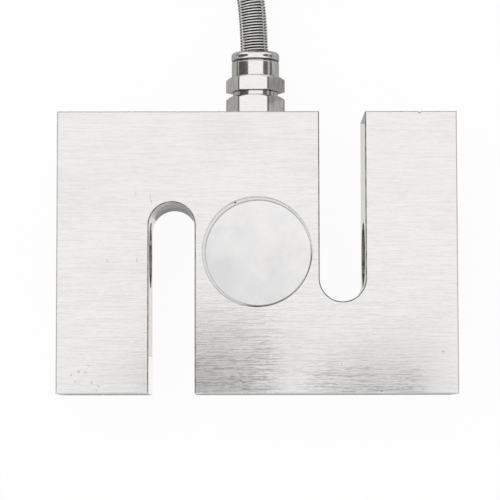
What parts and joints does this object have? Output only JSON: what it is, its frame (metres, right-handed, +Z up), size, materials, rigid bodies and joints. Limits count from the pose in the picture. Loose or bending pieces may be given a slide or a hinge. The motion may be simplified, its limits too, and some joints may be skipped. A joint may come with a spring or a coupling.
{
  "type": "s type load cell",
  "caption": "S-shaped load cell: a machined block with two slots, threaded load holes, a sealed gauge pocket, and a cable that leaves through a gland with a spring guard.",
  "frame": {"origin": "middle of the block's back face, on which it lies", "axes": "+X along the load axis, +Y from the block along the cable, +Z up out of the front cover"},
  "size_m": [0.108, 0.2328, 0.0254],
  "materials": {
    "block_nickel": "ground, satin nickel plate",
    "cover_steel": "smooth, slightly cloudy",
    "sealant": "pale, satin",
    "potting": "milky, soft",
    "gland_nickel": "bright nickel plate",
    "spring_steel": "bright spring wire",
    "o_ring_rubber": "matte",
    "seal_rubber": "matte",
    "clamp_brass": "turned",
    "gauge_film": "amber film with foil grid",
    "board": "satin",
    "resistor": "matte",
    "jumper_wire": "enamelled copper",
    "core_red": "satin",
    "core_black": "satin",
    "core_green": "satin",
    "core_white": "satin",
    "core_yellow": "satin",
    "cable_jacket": "satin",
    "tie_nylon": "natural, satin",
    "sleeve": "satin",
    "tinned": "dull tin"
  },
  "bodies": {
    "root": {"spring_element": "block_nickel", "front_cover": "cover_steel", "rear_cover": "cover_steel", "front_sealant": "sealant", "rear_sealant": "sealant", "front_potting": "potting", "rear_potting": "potting", "gland_body": "gland_nickel", "gland_cap": "gland_nickel", "gland_o_ring": "o_ring_rubber", "gland_seal": "seal_rubber", "gland_clamp": "clamp_brass", "guard_spring": "spring_steel", "strain_gauge_front_a": "gauge_film", "strain_gauge_front_b": "gauge_film", "strain_gauge_rear_a": "gauge_film", "strain_gauge_rear_b": "gauge_film", "terminal_board_front": "board", "terminal_board_rear": "board", "trim_resistors": "resistor", "bridge_wires_front": "jumper_wire", "bridge_wires_rear": "jumper_wire", "cross_wires": "jumper_wire", "core_red": "core_red", "core_black": "core_black", "core_green": "core_green", "core_white": "core_white", "cable": "cable_jacket", "cable_coil": "cable_jacket", "cable_end": "cable_jacket", "coil_ties": "tie_nylon", "tail_sleeve": "sleeve", "lead_red": "core_red", "lead_black": "core_black", "lead_green": "core_green", "lead_white": "core_white", "lead_shield": "core_yellow", "lead_tips": "tinned"}
  },
  "joints": []
}
